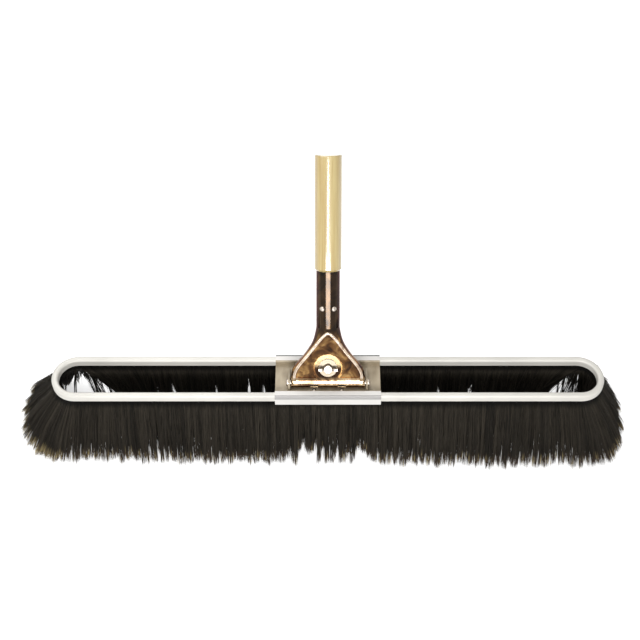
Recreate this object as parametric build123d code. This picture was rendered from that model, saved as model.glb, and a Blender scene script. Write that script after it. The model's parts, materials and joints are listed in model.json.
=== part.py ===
from build123d import *
import math
import os

os.makedirs("parts", exist_ok=True)

# Push broom: an oval ring of folded sheet steel grips a skirt of hair. A bridge plate
# spans the ring, and a stamped two-shell socket tilts on it and holds a wooden handle.
# All sizes are in millimetres. X runs along the broom, +Y is the side the handle leans
# to, and Z is up from the floor that the hair stands on.

# --- driving dimensions -----------------------------------------------------------

# ring channel
ring_length = 563.0
ring_width = 50.8
channel_width = 6.6
channel_height = 8.0
channel_sheet = 0.8
channel_corner = 2.4
ring_top = 84.0

# hair skirt, measured across from the middle of the channel: each level of its outer side
# is a height and how far the hair spreads there along the runs and past the two ends
hair_root_half = 2.3
hair_neck = 74.5
hair_spread = [(50.0, 13.0, 22.0), (6.0, 35.0, 40.0), (0.0, 30.0, 35.0)]
hair_inward = 12.0
hair_end_inward = 6.0
hair_top = 80.4

# core wires
wire_radius = 0.8
wire_offset = 1.0
wire_height = 78.6
wire_slack = 0.06

# bridge plate
bridge_length = 107.0
bridge_sheet = 1.1
flange_slack = 0.15
flange_corner = 2.0
flange_leg = 4.2
crimp_width = 0.6
crimp_height = 1.1
groove_radius = 1.35
web_top = 79.0

# hinge strap, rod and barrel
hinge_y = -9.4
hinge_z = 86.0
strap_sheet = 1.4
strap_front = -16.6
strap_rear = 11.0
ear_inner = 38.4
ear_sheet = 1.8
ear_radius = 5.6
ear_rear_height = 4.0
ear_slope = 69.5
rod_radius = 2.5
rod_half = 41.6
cap_radius = 3.8
cap_length = 2.0
cap_round = 1.2
barrel_radius = 3.8
barrel_half = 37.6
barrel_slack = 0.08
strap_rivet_radius = 1.3
strap_rivet_head = 2.1
strap_rivet_rise = 1.0
strap_rivet_places = [(-14.0, -14.4), (14.0, -14.4), (-26.0, 5.0), (26.0, 5.0)]

# socket shells, in the handle's own frame: the hinge is at 0 and Z runs up the handle
socket_sheet = 1.2
lip_radius = 4.8
barrel_seat = 3.85
foot_half = 37.2
ferrule_radius = 11.75
flare_top = 59.0
ferrule_top = 116.5
panel_recess = 1.0
seat_height = 17.0
front_seat_radius = 14.5
rear_seat_radius = 12.0
seat_depth = 4.2
lip_notch_place = 14.0
lip_notch_width = 8.0
# each section of the flare: height, half width, half depth, corner radius
flare_sections = [
    (0.0, foot_half, lip_radius, 3.0),
    (8.0, foot_half, 4.8, 3.2),
    (13.0, 36.1, 5.4, 3.5),
    (18.0, 33.7, 6.1, 3.8),
    (23.0, 29.6, 6.8, 4.2),
    (28.0, 25.2, 7.4, 4.7),
    (33.5, 21.2, 8.2, 5.5),
    (38.5, 18.0, 8.9, 6.7),
    (43.5, 15.5, 9.6, 8.0),
    (49.0, 13.7, 10.4, 9.4),
    (54.0, 12.6, 11.1, 10.6),
    (flare_top, ferrule_radius, ferrule_radius, ferrule_radius - 0.01),
]
panel_outline = [
    (-31.8, 6.5), (31.8, 6.5), (31.8, 12.0), (28.2, 18.8), (20.9, 28.4), (12.4, 39.4), (4.0, 49.6),
    (-4.0, 49.6), (-12.4, 39.4), (-20.9, 28.4), (-28.2, 18.8), (-31.8, 12.0),
]
panel_corner = 2.0
panel_foot = 6.5
# the raised rim runs in a plane that slopes with the flare's front face, from the foot up
# the left side to its top; the right side mirrors it
rim_depth = 3.1
rim_slope = 0.137
rim_radius = 1.9
rim_points = [(-33.6, 4.0), (-33.2, 12.0), (-29.4, 19.4), (-22.0, 29.0), (-13.4, 40.4), (-5.6, 50.6)]
rim_top = 54.6

# clamp bolt, washer and wing nut
bolt_radius = 3.0
bolt_hole = 3.1
bolt_head_radius = 6.5
bolt_head_height = 3.0
bolt_tip = 13.0
washer_radius = 9.2
washer_sheet = 1.2
nut_gap = 0.1
nut_bore = 3.06
nut_hub_radius = 4.8
nut_hub_height = 6.0
wing_span = 9.5
wing_sheet = 2.2
wing_rise = 8.0

# socket screws
screw_height = 79.0
screw_angle = 31.0
screw_radius = 1.5
screw_hole = 1.55
screw_head_radius = 2.6
screw_head_height = 1.6
screw_length = 7.0

# wooden handle
handle_lean = 38.0
handle_radius = 13.5
tenon_radius = 10.45
tenon_foot = 62.0
handle_top = 230.5
shoulder_chamfer = 1.8
top_chamfer = 0.8

# --- worked out -------------------------------------------------------------------

path_radius = (ring_width - channel_width) / 2
end_centre = (ring_length - ring_width) / 2
channel_bottom = ring_top - channel_height
flange_half = channel_width / 2 + flange_slack + bridge_sheet
flange_top = ring_top + flange_slack + bridge_sheet
flange_bottom = channel_bottom - flange_leg
strap_top = web_top + strap_sheet


# --- helpers ----------------------------------------------------------------------

def box_between(low, high):
    """A block between two corners."""
    size = [b - a for a, b in zip(low, high)]
    middle = [(a + b) / 2 for a, b in zip(low, high)]
    return Pos(*middle) * Box(*size)


def patch(low, high):
    """A flat rectangle between two corners of a section."""
    width, height = high[0] - low[0], high[1] - low[1]
    return Pos(low[0] + width / 2, low[1] + height / 2) * Rectangle(width, height)


def outline(points):
    """A flat face with the given corners."""
    return make_face(Polyline(*points, close=True))


def round_top(shape, radius):
    """Round the two upper corners of a flat section."""
    top = shape.vertices().sort_by(Axis.Y)[-2:]
    return fillet(top, radius)


def run_plane(x):
    """The plane across the rear run: its first axis is outward, its second is up."""
    return Plane(origin=(x, path_radius, 0), x_dir=(0, 1, 0), z_dir=(1, 0, 0))


def straight_run(section):
    """The rear straight run of a section that is drawn across the ring's path."""
    return extrude(run_plane(-end_centre) * section, amount=2 * end_centre)


def right_end(section):
    """The half circle at the +X end of the ring."""
    return revolve(run_plane(end_centre) * section, Axis((end_centre, 0, 0), (0, 0, 1)), -180)


def whole_ring(section):
    """A section carried once round the oval, as one solid."""
    run = straight_run(section)
    end = right_end(section)
    return run + end + mirror(run, Plane.XZ) + mirror(end, Plane.YZ)


def along_y(radius, start, stop, x=0.0, z=0.0):
    """A cylinder along Y between two places."""
    return Pos(x, (start + stop) / 2, z) * Rot(90, 0, 0) * Cylinder(radius, abs(stop - start))


def along_x(radius, start, stop, y=0.0, z=0.0):
    """A cylinder along X between two places."""
    return Pos((start + stop) / 2, y, z) * Rot(0, 90, 0) * Cylinder(radius, abs(stop - start))


def dome(radius, height):
    """A round rivet or screw head standing on Z = 0."""
    ball = (radius**2 + height**2) / (2 * height)
    above = box_between((-radius, -radius, 0), (radius, radius, height))
    return Pos(0, 0, height - ball) * Sphere(ball) & above


# --- ring channel, core wires and hair --------------------------------------------

def make_channel():
    """An upside-down U of sheet, round the whole oval."""
    half = channel_width / 2
    inner = half - channel_sheet
    skin = round_top(patch((-half, channel_bottom), (half, ring_top)), channel_corner)
    hollow = patch((-inner, channel_bottom - 1), (inner, ring_top - channel_sheet))
    return whole_ring(skin - round_top(hollow, channel_corner - channel_sheet))


def make_core_wire(side):
    """A closed wire in the fold of the hair."""
    return whole_ring(Pos(side * wire_offset, wire_height) * Circle(wire_radius))


def hair_root():
    """The band of hair inside the channel, folded over the two core wires."""
    shape = patch((-hair_root_half, hair_neck), (hair_root_half, hair_top))
    for side in (-1, 1):
        shape -= Pos(side * wire_offset, wire_height) * Circle(wire_radius + wire_slack)
    return shape


def make_hair_run():
    """The rear stretch of hair: it leaves the channel and spreads, more outward than inward."""
    outer = [(run, height) for height, run, end in hair_spread]
    skirt = outline([
        (-hair_root_half, hair_neck),
        (hair_root_half, hair_neck),
        *outer,
        (-hair_inward, 0),
    ])
    return straight_run(hair_root() + skirt)


def half_oval(height, along, across):
    """Half an oval at one height, bulging to +X from the ring's end centre."""
    oval = Ellipse(along, across) & Pos(along, 0) * Rectangle(2 * along, 4 * across)
    return Plane(origin=(end_centre, 0, height)) * oval


def make_hair_end():
    """The hair round the +X end, which fans out further than along the runs."""
    neck = path_radius + hair_root_half
    outer = [half_oval(hair_neck, neck, neck)]
    for height, run, end in hair_spread:
        outer.append(half_oval(height, path_radius + end, path_radius + run))
    neck = path_radius - hair_root_half
    inner = [
        half_oval(hair_neck, neck, neck),
        half_oval(0, path_radius - hair_end_inward, path_radius - hair_inward),
    ]
    return loft(outer, ruled=True) - loft(inner, ruled=True) + right_end(hair_root())


# --- bridge plate, strap and hinge ------------------------------------------------

def make_bridge_plate():
    """A sunk web with both edges rolled over the ring's long runs."""
    inner = channel_width / 2 + flange_slack
    web_bottom = web_top - bridge_sheet
    crimp_top = channel_bottom - flange_slack
    roll = round_top(patch((-flange_half, flange_bottom), (flange_half, flange_top)), flange_corner)
    roll -= round_top(patch((-inner, flange_bottom - 1), (inner, flange_top - bridge_sheet)),
                      flange_corner - bridge_sheet)
    roll -= patch((-flange_half, flange_bottom), (-inner, web_bottom))
    roll -= Pos(flange_half, flange_top) * Circle(groove_radius)
    roll += patch((inner - crimp_width, crimp_top - crimp_height), (inner, crimp_top))
    rear = extrude(run_plane(-bridge_length / 2) * roll, amount=bridge_length)
    web_half = path_radius - inner
    web = box_between((-bridge_length / 2, -web_half, web_bottom), (bridge_length / 2, web_half, web_top))
    plate = rear + mirror(rear, Plane.XZ) + web
    for x, y in strap_rivet_places:
        plate -= Pos(x, y, web_top) * Cylinder(strap_rivet_radius, 4 * bridge_sheet)
    return plate


def make_hinge_strap():
    """A flat strap with an ear turned up at each end."""
    base = box_between((-ear_inner, strap_front, web_top), (ear_inner, strap_rear, strap_top))
    for x, y in strap_rivet_places:
        base -= Pos(x, y, web_top) * Cylinder(strap_rivet_radius, 4 * strap_sheet)
    slope = math.radians(ear_slope)
    side = outline([
        (strap_front, web_top),
        (strap_rear, web_top),
        (strap_rear, web_top + ear_rear_height),
        (hinge_y + ear_radius * math.cos(slope), hinge_z + ear_radius * math.sin(slope)),
        (hinge_y - ear_radius, hinge_z),
        (strap_front, strap_top + strap_rivet_rise),
    ])
    side += Pos(hinge_y, hinge_z) * Circle(ear_radius)
    side -= Pos(hinge_y, hinge_z) * Circle(rod_radius)
    ear_plane = Plane(origin=(ear_inner, 0, 0), x_dir=(0, 1, 0), z_dir=(1, 0, 0))
    ear = extrude(ear_plane * side, amount=ear_sheet)
    return base + ear + mirror(ear, Plane.YZ)


def make_strap_rivets():
    """Domed rivets through strap and web."""
    web_bottom = web_top - bridge_sheet
    rivets = []
    for x, y in strap_rivet_places:
        grip = strap_top - web_bottom
        shank = Pos(x, y, web_bottom + grip / 2) * Cylinder(strap_rivet_radius, grip)
        upper = Pos(x, y, strap_top) * dome(strap_rivet_head, strap_rivet_rise)
        lower = Pos(x, y, web_bottom) * Rot(180, 0, 0) * dome(strap_rivet_head, strap_rivet_rise)
        rivets.append(shank + upper + lower)
    return Compound(rivets)


def make_hinge_rod():
    return along_x(rod_radius, -rod_half, rod_half, hinge_y, hinge_z)


def make_rod_caps():
    """Push-on caps that keep the rod in the ears."""
    face = ear_inner + ear_sheet
    cap = along_x(cap_radius, face, face + cap_length, hinge_y, hinge_z)
    cap = fillet(cap.edges().filter_by(GeomType.CIRCLE).sort_by(Axis.X)[-1], cap_round)
    cap -= along_x(rod_radius, face, rod_half, hinge_y, hinge_z)
    return Compound([cap, mirror(cap, Plane.YZ)])


# --- socket, in the handle's own frame --------------------------------------------

def flare_body(inset, back=0.0):
    """The flaring body and ferrule, as a solid; inset makes the hollow inside it."""
    sections = []
    for height, half_width, half_depth, corner in flare_sections:
        plane = Plane(origin=(0, back, height), z_dir=(0, 0, 1))
        face = RectangleRounded(2 * (half_width - inset), 2 * (half_depth - inset), corner - inset)
        sections.append(plane * face)
    ferrule = extrude(sections[-1], amount=ferrule_top - flare_top)
    return loft(sections) + ferrule


def panel_prism(grow):
    """A block over the sunk panel of the front shell."""
    face = fillet(outline(panel_outline).vertices(), panel_corner)
    if grow:
        face = offset(face, grow)
    return extrude(Plane(origin=(0, -20, 0), x_dir=(1, 0, 0), z_dir=(0, -1, 0)) * face, amount=-20)


def seated(sheet, body, side, radius):
    """Press a flat round seat for the clamp bolt into one face of the socket."""
    face = side * seat_depth
    floor = face - side * socket_sheet
    far = side * 20
    outer = radius + socket_sheet
    above_bar = box_between((-50, -30, panel_foot), (50, 30, 100))
    sheet -= along_y(radius, face, far, z=seat_height) & above_bar
    wall = along_y(outer, floor, far, z=seat_height) - along_y(radius, floor, far, z=seat_height)
    sheet += wall & body
    sheet += along_y(outer, floor, face, z=seat_height)
    return sheet - along_y(bolt_hole, 0, far, z=seat_height)


def raised_rim():
    """A rounded rim round the panel, from the foot over the top and down again."""
    plane = Plane(origin=(0, -rim_depth, 0), x_dir=(1, 0, 0), z_dir=(0, -1, -rim_slope))
    right = [(-x, height) for x, height in reversed(rim_points)]
    path = plane * Spline(*rim_points, (0, rim_top), *right)
    tube = sweep(Plane(origin=path @ 0, z_dir=path % 0) * Circle(rim_radius), path=path)
    for end in (path @ 0, path @ 1):
        tube += Pos(*end) * Sphere(rim_radius)
    return tube


def lip(side):
    """The foot of a shell, curled round the barrel."""
    quarter = box_between((-foot_half, min(0, side * 10), -10), (foot_half, max(0, side * 10), 0))
    return along_x(lip_radius, -foot_half, foot_half) & quarter


def screw_frame(side, hand):
    """The place of a socket screw: its Z axis points outward from the ferrule's axis."""
    turn = side * 90 + side * hand * screw_angle
    return Pos(0, 0, screw_height) * Rot(0, 0, turn) * Rot(0, 90, 0)


def shell_half(sheet, side):
    """Keep one half of the socket, with its lip, and drill it."""
    half = sheet & box_between((-50, min(0, side * 30), 0), (50, max(0, side * 30), 200))
    half += lip(side)
    half -= along_x(barrel_seat, -60, 60)
    for hand in (-1, 1):
        half -= screw_frame(side, hand) * Pos(0, 0, 10) * Cylinder(screw_hole, 10)
    return half


def make_front_shell():
    """The shell with the raised rim, the sunk panel and the round seat."""
    sheet = flare_body(0) - flare_body(socket_sheet) - panel_prism(0)
    sunk_body = flare_body(0, panel_recess)
    sunk_sheet = sunk_body - flare_body(socket_sheet, panel_recess)
    sheet += sunk_sheet & panel_prism(socket_sheet) & box_between((-50, -30, 0), (50, 0, 100))
    sheet += raised_rim() - flare_body(socket_sheet, panel_recess)
    shell = shell_half(seated(sheet, sunk_body, -1, front_seat_radius), -1)
    for place in (-lip_notch_place, lip_notch_place):
        notch = box_between((-lip_notch_width / 2, -10, -10), (lip_notch_width / 2, 0, 0))
        shell -= Pos(place, 0, 0) * notch
    return shell


def make_rear_shell():
    """The plain shell at the back."""
    body = flare_body(0)
    return shell_half(seated(body - flare_body(socket_sheet), body, 1, rear_seat_radius), 1)


def make_barrel():
    return along_x(barrel_radius, -barrel_half, barrel_half) - along_x(
        rod_radius + barrel_slack, -barrel_half, barrel_half)


def make_clamp_bolt():
    """A domed bolt through both shells."""
    head = Pos(0, seat_depth, seat_height) * Rot(-90, 0, 0) * dome(bolt_head_radius, bolt_head_height)
    return head + along_y(bolt_radius, -bolt_tip, seat_depth, z=seat_height)


def make_clamp_washer():
    face = -seat_depth
    ring = along_y(washer_radius, face - washer_sheet, face, z=seat_height)
    return ring - along_y(bolt_hole, face - washer_sheet, face, z=seat_height)


def make_wing_nut():
    """A round hub with two raised wings."""
    foot = seat_depth + washer_sheet + nut_gap
    hub = Cone(nut_hub_radius, nut_hub_radius - 1.0, nut_hub_height)
    hub = Pos(0, 0, foot + nut_hub_height / 2) * hub
    wing = outline([
        (2.0, foot + 1.2),
        (5.5, foot + 1.2),
        (wing_span, foot + wing_rise - 2.5),
        (wing_span, foot + wing_rise),
        (6.5, foot + wing_rise),
        (3.0, foot + nut_hub_height - 0.6),
    ])
    wing_plane = Plane(origin=(0, wing_sheet / 2, 0), x_dir=(1, 0, 0), z_dir=(0, -1, 0))
    wing = extrude(wing_plane * wing, amount=wing_sheet)
    nut = hub + wing + mirror(wing, Plane.YZ)
    nut -= Cylinder(nut_bore, 60)
    return Pos(0, 0, seat_height) * Rot(90, 0, 0) * nut


def make_socket_screws():
    """Round-headed screws through the ferrule into the handle's tenon."""
    screws = []
    for side in (-1, 1):
        for hand in (-1, 1):
            head = Pos(0, 0, ferrule_radius) * dome(screw_head_radius, screw_head_height)
            shank = Pos(0, 0, ferrule_radius - screw_length / 2) * Cylinder(screw_radius, screw_length)
            screws.append(screw_frame(side, hand) * (head + shank))
    return Compound(screws)


def make_handle():
    """A turned wooden handle with a tenon that fills the ferrule."""
    shaft_length = handle_top - ferrule_top
    shaft = Pos(0, 0, ferrule_top + shaft_length / 2) * Cylinder(handle_radius, shaft_length)
    rims = shaft.edges().filter_by(GeomType.CIRCLE).sort_by(Axis.Z)
    shaft = chamfer(rims[-1], top_chamfer)
    rims = shaft.edges().filter_by(GeomType.CIRCLE).sort_by(Axis.Z)
    shaft = chamfer(rims[0], shoulder_chamfer)
    tenon_length = ferrule_top - tenon_foot
    handle = shaft + Pos(0, 0, tenon_foot + tenon_length / 2) * Cylinder(tenon_radius, tenon_length)
    for side in (-1, 1):
        for hand in (-1, 1):
            pilot = Pos(0, 0, ferrule_radius - screw_length / 2) * Cylinder(screw_radius, screw_length)
            handle -= screw_frame(side, hand) * pilot
    return handle


# --- all pieces in the broom's frame ----------------------------------------------

hair_run = make_hair_run()
hair_end = make_hair_end()
handle_frame = Pos(0, hinge_y, hinge_z) * Rot(-handle_lean, 0, 0)

head_parts = {
    "ring_channel": make_channel(),
    "core_wire_outer": make_core_wire(1),
    "core_wire_inner": make_core_wire(-1),
    "hair_front": mirror(hair_run, Plane.XZ),
    "hair_rear": hair_run,
    "hair_right_end": hair_end,
    "hair_left_end": mirror(hair_end, Plane.YZ),
    "bridge_plate": make_bridge_plate(),
    "hinge_strap": make_hinge_strap(),
    "strap_rivets": make_strap_rivets(),
    "hinge_rod": make_hinge_rod(),
    "rod_caps": make_rod_caps(),
}
handle_parts = {
    "hinge_barrel": make_barrel(),
    "socket_front_shell": make_front_shell(),
    "socket_rear_shell": make_rear_shell(),
    "socket_screws": make_socket_screws(),
    "clamp_bolt": make_clamp_bolt(),
    "clamp_washer": make_clamp_washer(),
    "wing_nut": make_wing_nut(),
    "handle": make_handle(),
}

# The origin is under the middle of the whole broom, handle included.
lean = math.radians(handle_lean)
front_edge = -(path_radius + max(run for height, run, end in hair_spread))
rear_edge = hinge_y + handle_top * math.sin(lean) + (handle_radius - top_chamfer) * math.cos(lean)
to_origin = Pos(0, -(front_edge + rear_edge) / 2, 0)

parts = {name: to_origin * shape for name, shape in head_parts.items()}
parts |= {name: to_origin * handle_frame * shape for name, shape in handle_parts.items()}


def in_metres(frame, point):
    """Where a point of a frame lies on the broom."""
    place = (to_origin * frame * Pos(*point)).position
    return [round(value / 1000, 6) for value in place]


print("head centre", in_metres(Pos(0, 0, 0), (0, 0, 0)))
print("hinge", in_metres(Pos(0, hinge_y, hinge_z), (0, 0, 0)))
print("clamp bolt", in_metres(handle_frame, (0, 0, seat_height)))
print("handle middle", in_metres(handle_frame, (0, 0, (ferrule_top + handle_top) / 2)))

for name, shape in parts.items():
    export_step(shape, f"parts/{name}.step")
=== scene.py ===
# %% [markdown]
# # A push broom with an oval hair skirt
# The broom is a long oval ring of folded steel that grips a skirt of black hair. A plate
# bridges the ring, and a stamped socket tilts on it and holds a wooden handle. The rigid
# pieces come from the CAD frame at their real size. Here they get their finishes, and the
# hair, which CAD holds as plain blocks, is grown as loose strands.

# %% Load the frame
import json
import math

import bpy
import numpy as np
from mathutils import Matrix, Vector


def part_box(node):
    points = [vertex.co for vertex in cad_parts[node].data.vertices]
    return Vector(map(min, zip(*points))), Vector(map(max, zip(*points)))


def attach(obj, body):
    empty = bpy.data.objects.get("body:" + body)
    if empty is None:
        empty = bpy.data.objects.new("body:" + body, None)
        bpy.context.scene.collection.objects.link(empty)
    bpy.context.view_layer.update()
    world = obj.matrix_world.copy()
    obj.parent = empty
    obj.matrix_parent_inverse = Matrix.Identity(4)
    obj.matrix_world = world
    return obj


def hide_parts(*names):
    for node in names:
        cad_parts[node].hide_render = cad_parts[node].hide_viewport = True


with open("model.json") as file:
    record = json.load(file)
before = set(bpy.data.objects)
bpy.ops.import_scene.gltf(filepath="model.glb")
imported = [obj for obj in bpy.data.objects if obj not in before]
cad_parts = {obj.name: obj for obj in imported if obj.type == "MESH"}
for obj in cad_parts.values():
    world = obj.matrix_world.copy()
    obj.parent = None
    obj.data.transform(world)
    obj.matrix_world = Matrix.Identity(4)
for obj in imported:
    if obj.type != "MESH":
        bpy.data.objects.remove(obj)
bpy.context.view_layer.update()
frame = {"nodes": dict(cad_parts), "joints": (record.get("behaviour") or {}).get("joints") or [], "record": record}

MM = 0.001
nodes = frame["nodes"]
joints = {joint["name"]: joint for joint in frame["joints"]}
hinge = Vector(joints["handle_tilt"]["pos_m"])
nut_axis = Vector(joints["wing_nut_turn"]["axis"]).normalized()
handle_up = Vector((1, 0, 0)).cross(-nut_axis).normalized()
if handle_up.z < 0:
    handle_up = -handle_up
lean = math.atan2(handle_up.y, handle_up.z)
print("nodes:", len(nodes), "handle leans", round(math.degrees(lean), 1), "degrees")

# %% [markdown]
# ## Measures of the ring
# Everything on the head is placed from the CAD box of the ring channel. It gives the path
# that the hair follows: two straight runs joined by two half circles.

# %% Read the ring's path from the frame
ring_low, ring_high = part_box("ring_channel")
ring_middle = (ring_low + ring_high) / 2
channel_width = 6.6 * MM
path_radius = (ring_high.y - ring_low.y - channel_width) / 2
end_centre = (ring_high.x - ring_low.x) / 2 - path_radius - channel_width / 2
print("ring path radius", round(path_radius / MM, 1), "mm,",
      "straight half", round(end_centre / MM, 1), "mm, top", round(ring_high.z / MM, 2), "mm")

# %% [markdown]
# ## Camera
# The camera stands in front of the broom, a metre and a quarter from the ring, and looks
# down on it at 55 degrees. It could come closer with a wider lens, but from there a long
# lens keeps the ring's two sides nearly parallel.

# %% Place the camera
camera_distance = 1.25
camera_height_angle = math.radians(55)
aim_drop = math.radians(2.62)
lens_mm = 69.0
sideways = -8.0 * MM

camera_data = bpy.data.cameras.new("camera")
camera_data.lens = lens_mm
camera_data.sensor_width = 36
camera = bpy.data.objects.new("camera", camera_data)
bpy.context.scene.collection.objects.link(camera)
ring_target = Vector((ring_middle.x, ring_middle.y, ring_high.z))
back = Vector((0, -math.cos(camera_height_angle), math.sin(camera_height_angle)))
camera.location = ring_target + back * camera_distance + Vector((sideways, 0, 0))
camera.rotation_euler = (math.pi / 2 - camera_height_angle + aim_drop, 0, 0)
bpy.context.scene.camera = camera
print("camera at", [round(v, 3) for v in camera.location])

# %% [markdown]
# ## Floor and world
# A plain pale floor and a plain white sky show a finish as it is. They could be lit until
# they look white, but that much light would wash out the broom. Instead both show
# themselves lighter to the camera, gloss and glass than they light the broom, so the
# background is white while the shadow on the floor stays.

# %% Stage helpers
def link_new(data, name):
    """Put a new data block into the scene as an object."""
    made = bpy.data.objects.new(name, data)
    bpy.context.scene.collection.objects.link(made)
    return made


def deselect():
    """Drop every selection, so that an operator acts only on what is chosen next."""
    if bpy.context.object and bpy.context.object.mode != "OBJECT":
        bpy.ops.object.mode_set(mode="OBJECT")
    bpy.ops.object.select_all(action="DESELECT")


def seen_ray(tree):
    """A socket that is 1 where the camera, gloss or glass looks, and 0 where light is gathered."""
    path = tree.nodes.new("ShaderNodeLightPath")
    total = path.outputs["Is Camera Ray"]
    for name in ("Is Glossy Ray", "Is Transmission Ray"):
        add = tree.nodes.new("ShaderNodeMath")
        add.operation = "MAXIMUM"
        tree.links.new(total, add.inputs[0])
        tree.links.new(path.outputs[name], add.inputs[1])
        total = add.outputs[0]
    return total


# %% Floor
floor_size = 6.0
floor_drop = 0.5 * MM
floor_lift = 0.62

deselect()
bpy.ops.mesh.primitive_plane_add(size=floor_size, location=(0, 0, -floor_drop))
floor = bpy.context.object
floor.name = "floor"
floor_material = bpy.data.materials.new("pale_floor")
floor_material.use_nodes = True
tree = floor_material.node_tree
shader = tree.nodes["Principled BSDF"]
shader.inputs["Base Color"].default_value = (0.86, 0.86, 0.86, 1)
shader.inputs["Roughness"].default_value = 0.9
shader.inputs["Specular IOR Level"].default_value = 0.0
shader.inputs["Emission Color"].default_value = (1, 1, 1, 1)
lift = tree.nodes.new("ShaderNodeMath")
lift.operation = "MULTIPLY"
lift.inputs[1].default_value = floor_lift
tree.links.new(seen_ray(tree), lift.inputs[0])
tree.links.new(lift.outputs[0], shader.inputs["Emission Strength"])
floor.data.materials.append(floor_material)
print("floor lift:", floor_lift)

# %% World
plain_level = 0.4
white_level = 1.0

world = bpy.data.worlds.new("studio")
bpy.context.scene.world = world
world.use_nodes = True
tree = world.node_tree
background = tree.nodes["Background"]
background.inputs["Color"].default_value = (1, 1, 1, 1)
level = tree.nodes.new("ShaderNodeMapRange")
level.inputs["To Min"].default_value = plain_level
level.inputs["To Max"].default_value = white_level
tree.links.new(seen_ray(tree), level.inputs["Value"])
tree.links.new(level.outputs["Result"], background.inputs["Strength"])
print("world level:", plain_level)

# %% [markdown]
# ## Lamps
# Large soft lamps at the side, behind and overhead keep every shadow faint. Round, glossy
# pieces also need something to mirror, and a square lamp would leave only a dot on them.
# Two wide, low strips in front draw a bright stripe down the handle and ferrule instead.

# %% Lamps
def area_lamp(name, place, aim, size, power):
    """A soft square lamp at a place, turned to a point."""
    data = bpy.data.lights.new(name, "AREA")
    data.size = size
    data.energy = power
    lamp = link_new(data, name)
    lamp.location = place
    lamp.rotation_euler = (Vector(aim) - Vector(place)).to_track_quat("-Z", "Y").to_euler()
    return lamp


def strip_lamp(name, place, aim, width, height, power):
    """A wide, low lamp."""
    lamp = area_lamp(name, place, aim, width, power)
    lamp.data.shape = "RECTANGLE"
    lamp.data.size_y = height


area_lamp("side", (-1.3, -0.5, 1.0), (0, 0, 0.1), 0.9, 2.5)
area_lamp("back", (-0.5, 1.0, 1.4), (0, 0, 0.1), 0.9, 9)
area_lamp("overhead", (-0.4, -0.2, 1.65), (0, 0, 0), 1.2, 8)
strip_lamp("low_strip", (0, -1.34, 0.78), (0, -0.05, 0.15), 1.1, 0.16, 12.8)
strip_lamp("high_strip", (0, -1.34, 1.0), (0, 0.05, 0.2), 0.4, 0.2, 5)
bpy.context.scene.view_settings.view_transform = "Standard"

# %% [markdown]
# ## A small kit for finishes
# Every finish is a Principled shader with a few noise patterns on the object's own
# coordinates, so that the pattern stays with the piece when it turns. The first helpers
# make patterns. The second ones make masks, which say where on a piece a stain begins and
# ends, and mix two colours by them.

# %% Patterns and how they reach the shader
def finish(name, color, roughness, metallic=0.0, coat=0.0, coat_roughness=0.05, specular=0.5,
           edge_tint=(1, 1, 1)):
    """A new material with its plain values set on the shader's own sockets."""
    material = bpy.data.materials.new(name)
    material.use_nodes = True
    shader = material.node_tree.nodes["Principled BSDF"]
    shader.inputs["Base Color"].default_value = (*color, 1)
    shader.inputs["Roughness"].default_value = roughness
    shader.inputs["Metallic"].default_value = metallic
    shader.inputs["Coat Weight"].default_value = coat
    shader.inputs["Coat Roughness"].default_value = coat_roughness
    shader.inputs["Specular IOR Level"].default_value = specular
    shader.inputs["Specular Tint"].default_value = (*edge_tint, 1)
    return material


def place_pattern(material, stretch=(1, 1, 1)):
    """Object coordinates, stretched, as a pattern's own space."""
    tree = material.node_tree
    coordinates = tree.nodes.new("ShaderNodeTexCoord")
    scaling = tree.nodes.new("ShaderNodeMapping")
    scaling.inputs["Scale"].default_value = stretch
    tree.links.new(coordinates.outputs["Object"], scaling.inputs["Vector"])
    return scaling.outputs["Vector"]


def noise(material, space, scale, detail=4.0, distortion=0.0):
    """A noise pattern in a space."""
    node = material.node_tree.nodes.new("ShaderNodeTexNoise")
    node.inputs["Scale"].default_value = scale
    node.inputs["Detail"].default_value = detail
    node.inputs["Distortion"].default_value = distortion
    material.node_tree.links.new(space, node.inputs["Vector"])
    return node.outputs["Fac"]


def ramp(material, value, stops):
    """Turn a value into a colour by its stops: (place, colour)."""
    node = material.node_tree.nodes.new("ShaderNodeValToRGB")
    elements = node.color_ramp.elements
    while len(elements) < len(stops):
        elements.new(0.5)
    for element, (place, color) in zip(elements, stops):
        element.position = place
        element.color = (*color, 1)
    material.node_tree.links.new(value, node.inputs["Fac"])
    return node.outputs["Color"]


def spread(material, value, low, high):
    """Stretch a 0 to 1 value to a range."""
    node = material.node_tree.nodes.new("ShaderNodeMapRange")
    node.inputs["To Min"].default_value = low
    node.inputs["To Max"].default_value = high
    material.node_tree.links.new(value, node.inputs["Value"])
    return node.outputs["Result"]


def drive(material, socket, value):
    """Feed a pattern to one of the shader's sockets."""
    shader = material.node_tree.nodes["Principled BSDF"]
    material.node_tree.links.new(value, shader.inputs[socket])


def bump(material, height, strength, distance):
    """Raise the surface by a pattern."""
    tree = material.node_tree
    node = tree.nodes.new("ShaderNodeBump")
    node.inputs["Strength"].default_value = strength
    node.inputs["Distance"].default_value = distance
    tree.links.new(height, node.inputs["Height"])
    tree.links.new(node.outputs["Normal"], tree.nodes["Principled BSDF"].inputs["Normal"])


# %% Masks and mixing
def axis_of(material, space, axis):
    """One axis of a space."""
    node = material.node_tree.nodes.new("ShaderNodeSeparateXYZ")
    material.node_tree.links.new(space, node.inputs["Vector"])
    return node.outputs[axis]


def step(material, value, start, end):
    """0 before start, 1 past end, and smooth between."""
    node = material.node_tree.nodes.new("ShaderNodeMapRange")
    node.interpolation_type = "SMOOTHSTEP"
    node.inputs["From Min"].default_value = start
    node.inputs["From Max"].default_value = end
    material.node_tree.links.new(value, node.inputs["Value"])
    return node.outputs["Result"]


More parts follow.
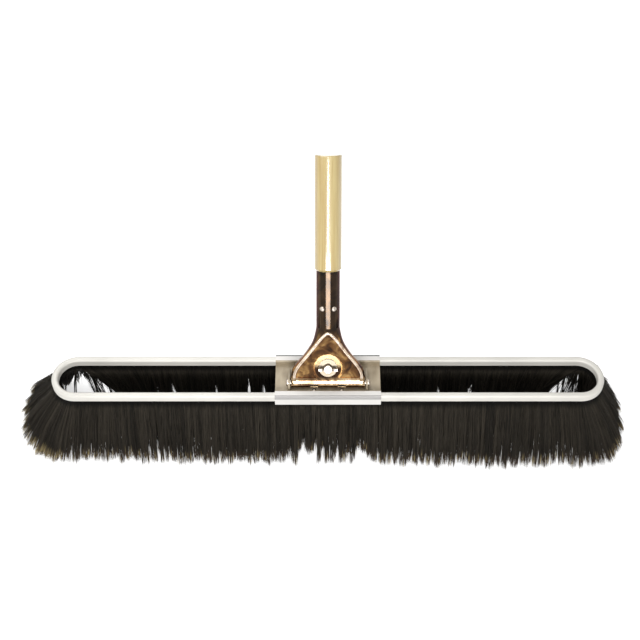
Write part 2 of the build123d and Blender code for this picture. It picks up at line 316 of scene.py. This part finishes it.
def near(material, space, axis, middle, half):
    """1 within half of a place along an axis, and 0 elsewhere."""
    node = material.node_tree.nodes.new("ShaderNodeMath")
    node.operation = "COMPARE"
    node.inputs[1].default_value = middle
    node.inputs[2].default_value = half
    material.node_tree.links.new(axis_of(material, space, axis), node.inputs[0])
    return node.outputs[0]


def plus_scaled(material, first, second, factor):
    """first + second * factor, for two values."""
    node = material.node_tree.nodes.new("ShaderNodeMath")
    node.operation = "MULTIPLY_ADD"
    node.inputs[1].default_value = factor
    material.node_tree.links.new(second, node.inputs[0])
    if isinstance(first, bpy.types.NodeSocket):
        material.node_tree.links.new(first, node.inputs[2])
    else:
        node.inputs[2].default_value = first
    return node.outputs[0]


def mixed(material, factor, first, second, blend="MIX"):
    """Mix two colours by a factor; a colour is a socket or a tuple."""
    tree = material.node_tree
    node = tree.nodes.new("ShaderNodeMix")
    node.data_type = "RGBA"
    node.blend_type = blend
    for name, value in (("Factor", factor), ("A", first), ("B", second)):
        socket = [s for s in node.inputs if s.name == name and s.enabled][0]
        if isinstance(value, bpy.types.NodeSocket):
            tree.links.new(value, socket)
        elif name == "Factor":
            socket.default_value = value
        else:
            socket.default_value = (*value, 1)
    return [s for s in node.outputs if s.enabled][0]


# %% [markdown]
# ## Plated and bright steel
# The ring and the bridge plate are plated sheet steel with a fine drawn grain along their
# length. Rivets, caps, bolt and nut are brighter, and the barrel and core wires darker; on the
# hinge barrel that darkness is painted shade. One recipe serves all: a colour with faint clouds
# in it, and a stretched noise that roughens the surface the way drawing does. The plating of
# ring and plate is nearly white and satin, so those two are only a little metallic.

# %% Steels
def drawn_steel(name, color, roughness, grain=(6, 260, 260), metallic=1.0, coat=0.0):
    """Satin metal with a grain drawn along X, faint stains and fine scratches."""
    material = finish(name, color, roughness, metallic=metallic, coat=coat, coat_roughness=0.15)
    drawn = noise(material, place_pattern(material, grain), 3.0, 3.0)
    cloud = noise(material, place_pattern(material), 14.0, 5.0)
    stained = tuple(0.86 * c for c in color)
    drive(material, "Base Color", ramp(material, cloud, [(0.35, stained), (0.62, color)]))
    drive(material, "Roughness", spread(material, drawn, roughness - 0.07, roughness + 0.1))
    bump(material, drawn, 0.12, 0.0002)
    return material


ring_steel = drawn_steel("ring_steel", (0.66, 0.64, 0.59), 0.45, metallic=0.1, coat=0.1)
bridge_steel = drawn_steel("bridge_steel", (0.69, 0.67, 0.64), 0.45, metallic=0.1, coat=0.1)
bright_steel = drawn_steel("bright_steel", (0.5, 0.44, 0.38), 0.25, (30, 30, 30))
# on the hinge barrel this dark steel is painted shade
wire_steel = drawn_steel("wire_steel", (0.2, 0.17, 0.13), 0.3, (40, 40, 40))
print("steels:", ring_steel.name, bridge_steel.name, bright_steel.name, wire_steel.name)

# %% [markdown]
# ## Dirt and painted shade on the bridge plate
# The sunk web of the plate gathers oily dust, so it is browner and duller than the rolled
# edges, which the hand rubs clean. A grey band of painted shade runs along each edge's top
# outer corner, and a thin dark line of painted shade along the top of the rear edge. The
# stains and the shade could be painted on an unwrapped map. Masks made from the ring's own
# measures need no map, keep a sharp border, and move with the sizes.

# %% Dirt and painted shade on the bridge plate
web_half = path_radius - 3.0 * MM
cove_from_middle = path_radius + 2.2 * MM
cove_heights = (ring_high.z - 4.0 * MM, ring_high.z - 2.5 * MM)
rear_line_half = 2.2 * MM
rear_line_heights = (ring_high.z - 0.8 * MM, ring_high.z - 0.1 * MM)
oily_dust = [(0.3, (0.24, 0.19, 0.12)), (0.7, (0.44, 0.37, 0.265))]
# painted shade: a grey band along each rolled edge's top outer corner
corner_painted_shade = (0.34, 0.33, 0.32)
# painted shade: a thin dark line along the top of the rear edge
rear_edge_painted_shade = (0.02, 0.017, 0.012)

shader = bridge_steel.node_tree.nodes["Principled BSDF"]
plate_color = shader.inputs["Base Color"].links[0].from_socket
place = place_pattern(bridge_steel)
above_floor = axis_of(bridge_steel, place, "Z")

patchy = noise(bridge_steel, place_pattern(bridge_steel, (1, 0.4, 1)), 90.0, 5.0)
dusty = ramp(bridge_steel, patchy, oily_dust)
on_web = near(bridge_steel, place, "Y", ring_middle.y, web_half)
plate_color = mixed(bridge_steel, on_web, plate_color, dusty)

# the top outer corners of both edges get the painted shade
up_to_cove = near(bridge_steel, place, "Y", ring_middle.y, cove_from_middle)
corner_shaded = mixed(bridge_steel, step(bridge_steel, above_floor, *cove_heights), plate_color, corner_painted_shade)
plate_color = mixed(bridge_steel, up_to_cove, corner_shaded, plate_color)

# the painted line of shade along the top of the rear edge
rear_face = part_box("bridge_plate")[1].y
on_rear_edge = near(bridge_steel, place, "Y", rear_face, rear_line_half)
line_part = step(bridge_steel, above_floor, *rear_line_heights)
rear_edge_shaded = mixed(bridge_steel, line_part, plate_color, rear_edge_painted_shade)
drive(bridge_steel, "Base Color", mixed(bridge_steel, on_rear_edge, plate_color, rear_edge_shaded))
print("web dulled out to", round(web_half / MM, 1), "mm from the middle line")

# %% [markdown]
# ## Bronze lacquer and painted light on the socket
# The socket's colour follows the way up the handle: worn metal at the foot, golden lacquer
# on the panel, and a painted dark reflection, nearly black, on the ferrule. The sides behind
# the panel carry the same painted dark reflection, the crest of the raised rim a painted
# highlight, and the round seat a painted highlight above and painted shade below. So the
# pattern is read in the handle's own frame, with the hinge at its origin, Z up the handle and
# Y to its back. The masks follow the shell's pressed form: the panel leans back a little as
# it rises, and how far a place stands in front of it tells rim from side.

# %% Places on the socket
rim_foot_depth = 3.1 * MM
rim_slope = 0.137
rim_crest = (0.8 * MM, 1.3 * MM)
side_depth = (-2.0 * MM, -2.8 * MM)
seat_height = 17.0 * MM
seat_floor_radius = (14.0 * MM, 13.0 * MM)
seat_wall_radius = (14.5 * MM, 13.5 * MM)


def handle_space(material, stretch=(1, 1, 1)):
    """Object coordinates in the handle's own frame: Z runs up the handle from the hinge."""
    tree = material.node_tree
    coordinates = tree.nodes.new("ShaderNodeTexCoord")
    centring = tree.nodes.new("ShaderNodeMapping")
    centring.inputs["Location"].default_value = -hinge
    turning = tree.nodes.new("ShaderNodeMapping")
    turning.inputs["Rotation"].default_value = (lean, 0, 0)
    scaling = tree.nodes.new("ShaderNodeMapping")
    scaling.inputs["Scale"].default_value = stretch
    tree.links.new(coordinates.outputs["Object"], centring.inputs["Vector"])
    tree.links.new(centring.outputs["Vector"], turning.inputs["Vector"])
    tree.links.new(turning.outputs["Vector"], scaling.inputs["Vector"])
    return scaling.outputs["Vector"]


def before_panel(material):
    """How far a place stands in front of the panel's sloping face."""
    space = handle_space(material)
    face_depth = plus_scaled(material, rim_foot_depth, axis_of(material, space, "Z"), rim_slope)
    forward = plus_scaled(material, 0.0, axis_of(material, space, "Y"), -1)
    return plus_scaled(material, forward, face_depth, -1)


def from_seat(material):
    """Distance from the axis of the panel's round seat."""
    node = material.node_tree.nodes.new("ShaderNodeVectorMath")
    node.operation = "DISTANCE"
    node.inputs[1].default_value = (0, 0, seat_height)
    material.node_tree.links.new(handle_space(material, (1, 0, 1)), node.inputs[0])
    return node.outputs["Value"]


def on_side(material):
    """1 on the sides of the shell, behind the panel, and 0 on the panel and its seat."""
    behind = step(material, before_panel(material), *side_depth)
    in_seat = step(material, from_seat(material), *seat_wall_radius)
    return mixed(material, in_seat, behind, (0, 0, 0))


# %% Bronze lacquer and painted light
worn_foot = (5.0 * MM, 7.5 * MM)
ferrule_start = (44.0 * MM, 58.0 * MM)
# painted highlight on the seat's upper part and painted shade on its lower part
seat_light_fade = (22.0 * MM, 16.0 * MM)
seat_painted_highlight, seat_painted_shade = (0.3, 0.22, 0.12), (0.015, 0.006, 0.002)
golden_stops = [(0.34, (0.025, 0.01, 0.004)), (0.5, (0.15, 0.066, 0.02)), (0.66, (0.46, 0.27, 0.1))]
# painted dark reflection on the ferrule and on the shell's sides
dark_reflection_stops = [(0.35, (0.007, 0.0035, 0.0015)), (0.7, (0.055, 0.03, 0.012))]
worn_stops = [(0.35, (0.06, 0.025, 0.01)), (0.5, (0.22, 0.14, 0.07)), (0.68, (0.42, 0.31, 0.19))]
# painted highlight on the crest of the raised rim
crest_highlight_stops = [(0.35, (0.36, 0.24, 0.15)), (0.6, (0.72, 0.6, 0.48))]

socket_metal = finish("socket_bronze", (0.2, 0.105, 0.045), 0.14, metallic=1.0, coat=0.35,
                      coat_roughness=0.04, edge_tint=(0.5, 0.3, 0.15))
up_handle = axis_of(socket_metal, handle_space(socket_metal), "Z")
cloud = noise(socket_metal, handle_space(socket_metal), 75.0, 5.0, 0.8)
golden = ramp(socket_metal, cloud, golden_stops)
painted_dark_reflection = ramp(socket_metal, cloud, dark_reflection_stops)
worn = ramp(socket_metal, cloud, worn_stops)
crest_painted_highlight = ramp(socket_metal, cloud, crest_highlight_stops)
# the seat is painted lighter at its top and darker at its foot
seat_painted_light = mixed(socket_metal, step(socket_metal, up_handle, *seat_light_fade), seat_painted_highlight, seat_painted_shade)
on_seat_floor = step(socket_metal, from_seat(socket_metal), *seat_floor_radius)
lacquer_and_painted_light = mixed(socket_metal, on_seat_floor, golden, seat_painted_light)
# the ferrule and the sides behind the panel get the painted dark reflection
lacquer_and_painted_light = mixed(socket_metal, step(socket_metal, up_handle, *ferrule_start), lacquer_and_painted_light, painted_dark_reflection)
lacquer_and_painted_light = mixed(socket_metal, on_side(socket_metal), lacquer_and_painted_light, painted_dark_reflection)
# the rim's crest gets the painted highlight
on_crest = step(socket_metal, before_panel(socket_metal), *rim_crest)
lacquer_and_painted_light = mixed(socket_metal, on_crest, lacquer_and_painted_light, crest_painted_highlight)
above_foot = step(socket_metal, up_handle, *worn_foot)
drive(socket_metal, "Base Color", mixed(socket_metal, above_foot, worn, lacquer_and_painted_light))
drive(socket_metal, "Roughness", spread(socket_metal, cloud, 0.08, 0.24))
bump(socket_metal, noise(socket_metal, handle_space(socket_metal), 220.0), 0.08, 0.0003)
print("bronze:", len(socket_metal.node_tree.nodes), "shader nodes")

# %% [markdown]
# ## Varnished wood
# The handle is a turned ash or ramin pole: pale, straight grained and varnished. Long thin
# noise along the handle makes the grain, and a clear coat makes the bright stripe of gloss.

# %% Wood of the handle
pale, straw, tan = (0.54, 0.43, 0.19), (0.42, 0.31, 0.11), (0.62, 0.45, 0.22)
fibre_strength = 0.4

handle_wood = finish("handle_wood", (0.5, 0.4, 0.18), 0.32, coat=1.0, coat_roughness=0.08)
long_grain = handle_space(handle_wood, (1, 1, 0.03))
grain = noise(handle_wood, long_grain, 520.0, 4.0, 0.3)
band = noise(handle_wood, long_grain, 110.0, 3.0, 0.8)
tone = ramp(handle_wood, band, [(0.3, straw), (0.65, pale)])
fibre = ramp(handle_wood, grain, [(0.35, tan), (0.6, (1, 1, 1))])
drive(handle_wood, "Base Color", mixed(handle_wood, fibre_strength, tone, fibre, "MULTIPLY"))
bump(handle_wood, grain, 0.06, 0.0003)
print("wood:", len(handle_wood.node_tree.nodes), "shader nodes")

# %% Give the rigid CAD pieces their finish
slot_finish = {
    "ring_steel": ring_steel, "bridge_steel": bridge_steel, "wire_steel": wire_steel,
    "bright_steel": bright_steel, "socket_metal": socket_metal, "handle_wood": handle_wood,
}
for subpart in frame["record"]["subparts"]:
    material = slot_finish.get(subpart["material_slot"])
    if material:
        node = nodes[subpart["node"]]
        node.data.materials.clear()
        node.data.materials.append(material)
print("finished CAD nodes:", sum(1 for o in nodes.values() if o.data.materials))

# %% [markdown]
# ## One strand of hair
# A strand is a thin three-sided cylinder, cut into a few lengths so that it can bow, and
# drawn to a point. It is modelled once at unit size, standing on the origin, and each copy
# takes its own root, tip, bow and thickness. A particle system would be quicker to set up,
# but its hair isn't a mesh, and only a mesh can be exported.

# %% Model the strand
strand_cuts = (0.12, 0.5, 0.9)

deselect()
bpy.ops.mesh.primitive_cylinder_add(vertices=3, radius=1, depth=1, location=(0, 0, 0.5))
strand = bpy.context.object
strand.name = "strand_template"
bpy.ops.object.mode_set(mode="EDIT")
for cut in strand_cuts:
    bpy.ops.mesh.select_all(action="SELECT")
    bpy.ops.mesh.bisect(plane_co=(0, 0, cut), plane_no=(0, 0, 1))
bpy.ops.object.mode_set(mode="OBJECT")
for vertex in strand.data.vertices:
    vertex.select = vertex.co.z + 0.5 > 0.99
for part in (strand.data.edges, strand.data.polygons):
    for item in part:
        item.select = all(strand.data.vertices[i].select for i in item.vertices)
bpy.ops.object.mode_set(mode="EDIT")
bpy.ops.mesh.merge(type="CENTER")
bpy.ops.mesh.select_all(action="SELECT")
bpy.ops.mesh.quads_convert_to_tris()
bpy.ops.mesh.normals_make_consistent(inside=False)
bpy.ops.object.mode_set(mode="OBJECT")
bpy.ops.object.transform_apply(location=True, rotation=False, scale=False)
strand_points = np.array([v.co for v in strand.data.vertices])
strand_faces = np.array([list(p.vertices) for p in strand.data.polygons])
bpy.data.objects.remove(strand)
print("strand:", len(strand_points), "points,", len(strand_faces), "faces")

# %% [markdown]
# ## The path of the skirt
# A place on the skirt is a distance along the ring's middle line. The front run goes from
# left to right, then come the right end, the rear run and the left end. Every place has a
# point and an outward direction.

# %% Follow the ring
straight = 2 * end_centre
turn_length = math.pi * path_radius
right_start = straight
rear_start = straight + turn_length
left_start = 2 * straight + turn_length


def ring_place(distance):
    """Middle of the channel and the outward direction at distances along the ring."""
    distance = np.mod(distance, 2 * straight + 2 * turn_length)
    point = np.zeros((len(distance), 2))
    outward = np.zeros((len(distance), 2))
    front = distance < right_start
    right = (distance >= right_start) & (distance < rear_start)
    rear = (distance >= rear_start) & (distance < left_start)
    left = distance >= left_start
    point[front] = np.stack([distance[front] - end_centre, np.full(front.sum(), -path_radius)], 1)
    outward[front] = (0, -1)
    back_along = end_centre - (distance[rear] - rear_start)
    point[rear] = np.stack([back_along, np.full(rear.sum(), path_radius)], 1)
    outward[rear] = (0, 1)
    for chosen, start, side in ((right, right_start, 1), (left, left_start, -1)):
        angle = (distance[chosen] - start) / path_radius
        outward[chosen] = np.stack([side * np.sin(angle), -side * np.cos(angle)], 1)
        point[chosen] = outward[chosen] * path_radius + (side * end_centre, 0)
    return point + (ring_middle.x, ring_middle.y), outward


print("ring's middle line:", round(2 * (straight + turn_length) / MM), "mm")

# %% [markdown]
# ## How the hair lies
# Hair stands in tufts, in rows from the inner side of the channel to the outer. Inside the
# channel every strand is upright. Below it the skirt spreads, further outward than inward,
# and further still round the two ends. Use has left its marks. Near each end of the rear
# run the tufts are combed towards the middle, so the skirt parts there and the floor shows
# through the ring. Narrower partings break the rear run elsewhere, and a stretch of the
# front run, just about its middle, is worn short.

# %% Reach of the hair
# heights above the floor, and how far roots and tips stand from the ring's middle line
hair_root = 78.5 * MM
least_height = 0.6 * MM
channel_half = 2.2 * MM
reach_in = 12.0 * MM
reach_out = 37.0 * MM
longest_reach = 45.0 * MM
# the skirt is a little wider to the right, and its left end (-1) fans out most
reach_slope = 0.014
reach_end = {-1: 48.0 * MM, 1: 35.0 * MM}
reach_curve = 0.55
end_curve = 1.5
# tufts fall short in groups, and by a larger share where the skirt is worn
group_pitch = 4.0 * MM
group_shortfall = (0, 0.1)
worn_middle = 5.0 * MM
worn_half = 36.0 * MM
worn_share = 0.75
worn_shortfall = (0.26, 0.44)
shortfall_lift = 18 * MM
# share of the inner rows that are thrown outward where the ring turns
turning_from = 0.25
thrown_share = 0.75
thrown_share_left = 0.96
# scatter of the tufts' tips
reach_scatter = 0.9 * MM
tip_scatter = 1.0 * MM
height_scatter = 1.2 * MM
print("hair reaches", round(reach_out / MM), "mm out and", round(reach_in / MM), "mm in")

# %% Partings in the rear run
# the two wide partings, as distances from the middle, with -1 for the left and 1 for the right
part_place = 261 * MM
part_depth = 30 * MM
part_strength = {-1: 1.0, 1: 0.75}
combed_share = {-1: 0.95, 1: 0.9}
outer_row_from = 0.3
outer_part_later = {-1: 4 * MM, 1: 16 * MM}
comb_in = 88.0 * MM
comb_out = 12.0 * MM
fan_out = 12 * MM
fan_run = 60 * MM
# how unevenly bundles of tufts follow the comb
bundle_pitch = 4.5 * MM
bundle_pull = (0.72, 1.12)
# the narrow partings: place along X and how far the tufts beside it are moved, both in mm
small_part_depth = 4 * MM
small_partings = {
    -227: 12, -206: 12, -186: 12, -166: 9, -118: 6, -83: 5, -68: 5, -44: 5,
    76: 4, 118: 5, 152: 6, 171: 5, 208: 4, 219: 4, 230: 4, 241: 4,
}


def smooth(value):
    """Ease a value from 0 to 1."""
    value = np.clip(value, 0, 1)
    return value * value * (3 - 2 * value)


def by_side(side, values):
    """The value for the left (-1) or the right (1) half."""
    return np.where(side < 0, values[-1], values[1])


def combed(random, point, outward, across):
    """How far along X each tuft's tip is combed, away from the partings in the rear run."""
    x = point[:, 0] - ring_middle.x
    side = np.where(x < 0, -1.0, 1.0)
    outer = across > outer_row_from
    past = side * x - part_place + outer * by_side(side, outer_part_later)
    inward = -comb_in * np.exp(-np.clip(-past, 0, None) / part_depth)
    away = comb_out * (1 + outer) * np.clip(outward[:, 1], 0, 1)
    taken = (outward[:, 1] > 0) & (random.random(len(x)) < by_side(side, combed_share))
    shift = np.where(past < 0, inward, away) * by_side(side, part_strength) * taken
    fan = fan_out * smooth((side * x - part_place + fan_run) / fan_run) * (outward[:, 1] < 0)
    shift = side * (shift + fan * np.abs(outward[:, 1]))
    in_rear_run = outward[:, 1] > 0.9
    for place, comb in small_partings.items():
        off = x - place * MM
        shift += in_rear_run * np.sign(off) * comb * MM * np.exp(-np.abs(off) / small_part_depth)
    return shift


print("partings:", 2 + len(small_partings))

# %% Tips of the tufts
def rows_at_ends(random, across, x, outward):
    """Throw most inner rows outward round the ends, and nearly all of them at the left end."""
    turning = np.abs(outward[:, 0]) > turning_from
    thrown = turning & (random.random(len(x)) < thrown_share)
    across = np.where(thrown, np.abs(across), across)
    at_left = (x < -end_centre) & (outward[:, 1] > -0.2)
    thrown_left = at_left & (random.random(len(x)) < thrown_share_left)
    return np.where(thrown_left, 0.5 + 0.5 * np.abs(across), across)


def shortfalls(random, along, x, outward):
    """How much each group of tufts falls short of the full reach, as a share."""
    names, group = np.unique(np.floor(along / group_pitch).astype(int), return_inverse=True)
    usual = random.uniform(*group_shortfall, len(names))[group]
    on_worn_part = (np.abs(x - worn_middle) < worn_half) & (outward[:, 1] < -0.5)
    very_short = (random.random(len(names)) < worn_share)[group]
    worn = random.uniform(*worn_shortfall, len(names))[group]
    return np.where(on_worn_part & very_short, worn, usual)


def tuft_tips(random, along, across):
    """Where each tuft's tip lies: a point of the floor plan and a height."""
    point, outward = ring_place(along)
    x = point[:, 0] - ring_middle.x
    across = rows_at_ends(random, across, x, outward)
    shortfall = shortfalls(random, along, x, outward)
    round_end = np.abs(outward[:, 0]) ** end_curve
    longest = reach_out + reach_slope * x
    longest = longest + (by_side(x, reach_end) - longest) * round_end
    reach_outward = np.clip(across, 0, 1) ** reach_curve * longest * (1 - shortfall)
    reach = np.where(across > 0, reach_outward, across * reach_in)
    reach = reach + random.normal(0, reach_scatter, len(x))
    tip = point + outward * reach[:, None]
    bundles, bundle = np.unique(np.floor(along / bundle_pitch), return_inverse=True)
    pull = random.uniform(*bundle_pull, len(bundles))[bundle]
    tip[:, 0] += combed(random, point, outward, across) * pull
    tip += random.normal(0, tip_scatter, tip.shape)
    lift = np.abs(random.normal(0, height_scatter, len(x))) + shortfall * shortfall_lift
    return tip, least_height + lift


# %% [markdown]
# ## Growing the hair
# Tufts gather into clumps at their tips, which makes the ragged foot of the skirt. All the
# strands of one stretch of the ring are copied into a single mesh, with numpy placing each
# copy, because operators would take far too long for so many. Attributes keep each strand's
# own shade, whether its tip is golden, and the way along it, for the finish to read.

# %% Tufts and clumps
tufts_across = 10
tuft_pitch = 2.5 * MM
end_tuft_pitch = 1.1 * MM
row_scatter = 0.09
clump_pitch = 4.0 * MM
clump_drop = 1.6 * MM
clump_gather = (0.1, 0.4)
lowest_tip = 0.5 * MM


def tuft_grid(random, start, stop, pitch):
    """Tufts of one stretch: their ways along the ring, and their rows from -1 to 1."""
    columns = int(round((stop - start) / pitch))
    tufts = columns * tufts_across
    along = np.repeat(start + (np.arange(columns) + 0.5) * (stop - start) / columns, tufts_across)
    along = along + random.normal(0, pitch * 0.5, tufts)
    across = np.tile(np.linspace(-1, 1, tufts_across), columns)
    across = across + random.normal(0, row_scatter, tufts)
    return along, np.clip(across, -1, 1)


def gathered(random, along, pitch, tip, height):
    """Draw the tips of neighbouring tufts together into clumps, and number the clumps."""
    row = np.arange(len(along)) % tufts_across
    offset = random.uniform(0, 1, tufts_across)[row]
    clump = np.floor(along / (clump_pitch * pitch / tuft_pitch) + offset).astype(int)
    names, clump = np.unique(clump * tufts_across + row, return_inverse=True)
    size = np.bincount(clump)
    centre = np.stack([np.bincount(clump, tip[:, i]) / size for i in (0, 1)], 1)
    drop = random.normal(0, clump_drop, len(names))
    gather = random.uniform(*clump_gather, len(names))[clump]
    tip = tip + (centre[clump] - tip) * gather[:, None]
    return tip, np.maximum(height + drop[clump], lowest_tip), clump


# %% Strands
strands_per_tuft = 12
strand_radius = 0.31 * MM
thickness_range = (0.7, 1.25)
bow_size = 0.8 * MM
root_scatter = 0.3 * MM
strand_scatter = 1.0 * MM
length_scatter = 1.8 * MM
stray_share = 0.03
stray_reach = 3.0 * MM
spread_curve = 0.85


def strand_ends(random, tuft, along, across, pitch, tuft_tip, tuft_height):
    """Root and tip of every strand, scattered about those of its tuft."""
    count = len(tuft)
    point, outward = ring_place(along[tuft] + random.normal(0, pitch * 0.5, count))
    root_reach = across[tuft] * channel_half + random.normal(0, root_scatter, count)
    root_reach = np.clip(root_reach, -channel_half, channel_half)
    root = np.column_stack([point + outward * root_reach[:, None], np.full(count, hair_root)])
    tip = np.column_stack([tuft_tip[tuft], tuft_height[tuft]])
    tip[:, :2] += random.normal(0, strand_scatter, (count, 2))
    tip[:, 2] += random.exponential(length_scatter, count)
    stray = random.random(count) < stray_share
    tip[:, :2] += stray[:, None] * random.normal(0, stray_reach, (count, 2))
    widest = path_radius + longest_reach
    tip[:, 1] = np.clip(tip[:, 1], ring_middle.y - widest, ring_middle.y + widest)
    return root, tip


def strand_copies(random, root, tip):
    """Points of every strand: the unit strand set from root to tip, with its bow and taper."""
    count = len(root)
    bow = np.column_stack([random.normal(0, bow_size, (count, 2)), np.zeros(count)])
    thick = strand_radius * random.uniform(*thickness_range, count)
    spin = random.uniform(0, 2 * math.pi, count)
    way = strand_points[:, 2]
    below_channel = np.clip(way - strand_cuts[0], 0, 1) / (1 - strand_cuts[0])
    sideways_share = below_channel ** spread_curve
    share = np.stack([sideways_share, sideways_share, way], 1)
    bow_share = 4 * sideways_share * (1 - sideways_share)
    centre = (root[:, None, :] + (tip - root)[:, None, :] * share[None]
              + bow[:, None, :] * bow_share[None, :, None])
    cos, sin = np.cos(spin)[:, None], np.sin(spin)[:, None]
    taper = (1.0 - 0.5 * way**3)[None, :] * thick[:, None]
    x = (strand_points[:, 0] * cos - strand_points[:, 1] * sin) * taper
    y = (strand_points[:, 0] * sin + strand_points[:, 1] * cos) * taper
    return centre + np.stack([x, y, np.zeros_like(x)], 2)


# %% One stretch of hair
# strands whose tips get the gold of the painted back-light, most of all at the left end
gold_from_end = 22 * MM
gold_share_left, gold_share_elsewhere = 0.4, 0.1


def keep_on_points(mesh, name, values):
    """Store one value for each point of a mesh, for the finish to read."""
    attribute = mesh.attributes.new(name, "FLOAT", "POINT")
    attribute.data.foreach_set("value", values.astype(np.float32))


def grow(name, start, stop, pitch, seed):
    """Grow the strands of one stretch of the ring as a single mesh."""
    random = np.random.default_rng(seed)
    along, across = tuft_grid(random, start, stop, pitch)
    tuft_tip, tuft_height = tuft_tips(random, along, across)
    tuft_tip, tuft_height, clump = gathered(random, along, pitch, tuft_tip, tuft_height)
    tuft = np.repeat(np.arange(len(along)), strands_per_tuft)
    root, tip = strand_ends(random, tuft, along, across, pitch, tuft_tip, tuft_height)
    points = strand_copies(random, root, tip)

    count = len(tuft)
    # a hanging strand is the template turned over, so its faces are wound the other way round
    hanging_faces = strand_faces[:, ::-1]
    first_point = np.arange(count) * len(strand_points)
    faces = (hanging_faces[None] + first_point[:, None, None]).reshape(-1, 3)
    mesh = bpy.data.meshes.new(name)
    mesh.from_pydata(points.reshape(-1, 3).tolist(), [], faces.tolist())
    mesh.shade_smooth()

    clump_shade = random.random(clump.max() + 1)[clump[tuft]]
    shade = 0.45 * clump_shade + 0.55 * random.random(count)
    at_left_end = tip[:, 0] - ring_middle.x < -end_centre - gold_from_end
    backlit_golden_tip = random.random(count) < np.where(at_left_end, gold_share_left, gold_share_elsewhere)
    keep_on_points(mesh, "shade", np.repeat(shade, len(strand_points)))
    keep_on_points(mesh, "gold", np.repeat(backlit_golden_tip, len(strand_points)))
    keep_on_points(mesh, "share", np.tile(strand_points[:, 2], count))
    print(name, count, "strands,", len(faces), "faces")
    return link_new(mesh, name)


# %% [markdown]
# ## Colour of the hair
# The hair is nearly black and a little warm, and it is dull, so it stays dark under a white
# sky. Each strand carries its own shade. It is darkest at the root, where painted shade darkens
# it just under the channel, and its tip is painted lighter as painted back-light, brown on most
# strands and gold on some.

# %% Hair finish
dark, brown = (0.011, 0.0095, 0.0073), (0.045, 0.038, 0.0285)
# painted back-light: tips lighter than the strand, brown on most strands and gold on some
backlit_brown_tip, backlit_gold_tip = (0.06, 0.042, 0.03), (0.5, 0.4, 0.2)
# painted shade: each strand darkens near its root, just under the channel
root_shade_stops = [(0.12, (0.1, 0.1, 0.1)), (0.19, (1, 1, 1))]
tip_stops = [(0.8, (0, 0, 0)), (0.93, (1, 1, 1))]


def carried(material, name):
    """A value that the mesh carries on its points."""
    node = material.node_tree.nodes.new("ShaderNodeAttribute")
    node.attribute_name = name
    return node.outputs["Fac"]


hair_black = finish("hair_black", (0.016, 0.013, 0.01), 0.75, specular=0.12)
way_down = carried(hair_black, "share")
body_color = ramp(hair_black, carried(hair_black, "shade"), [(0.15, dark), (0.9, brown)])
# multiply in the painted shade at the root
painted_root_shade = ramp(hair_black, way_down, root_shade_stops)
body_color = mixed(hair_black, 1.0, body_color, painted_root_shade, "MULTIPLY")
painted_backlight_tip = mixed(hair_black, carried(hair_black, "gold"), backlit_brown_tip, backlit_gold_tip)
tip_part = ramp(hair_black, way_down, tip_stops)
drive(hair_black, "Base Color", mixed(hair_black, tip_part, body_color, painted_backlight_tip))
print("hair:", len(hair_black.node_tree.nodes), "shader nodes")

# %% [markdown]
# ## The eight pieces of hair
# The two ends are one piece each. The front and rear runs have three pieces each, because
# a whole run in one mesh would be too heavy to export. The tufts stand closer round the
# ends, where the skirt has to fan out. Every piece rides on the head and takes the place
# of the plain block that CAD has for it.

# %% Grow the hair
first_seed = 11
third = straight / 3
stretches = [
    ("hair_right", right_start, rear_start, end_tuft_pitch, "hair_right_end"),
    ("hair_left", left_start, left_start + turn_length, end_tuft_pitch, "hair_left_end"),
]
for run, run_start, places in (("front", 0, ("left", "middle", "right")),
                               ("rear", rear_start, ("right", "middle", "left"))):
    for position, place in enumerate(places):
        begin = run_start + position * third
        stretches.append((f"hair_{run}_{place}", begin, begin + third, tuft_pitch, f"hair_{run}"))
for order, (name, start, stop, pitch, node) in enumerate(stretches):
    piece = grow(name, start, stop, pitch, first_seed + order)
    piece.data.materials.append(hair_black)
    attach(piece, "head")
    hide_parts(node)
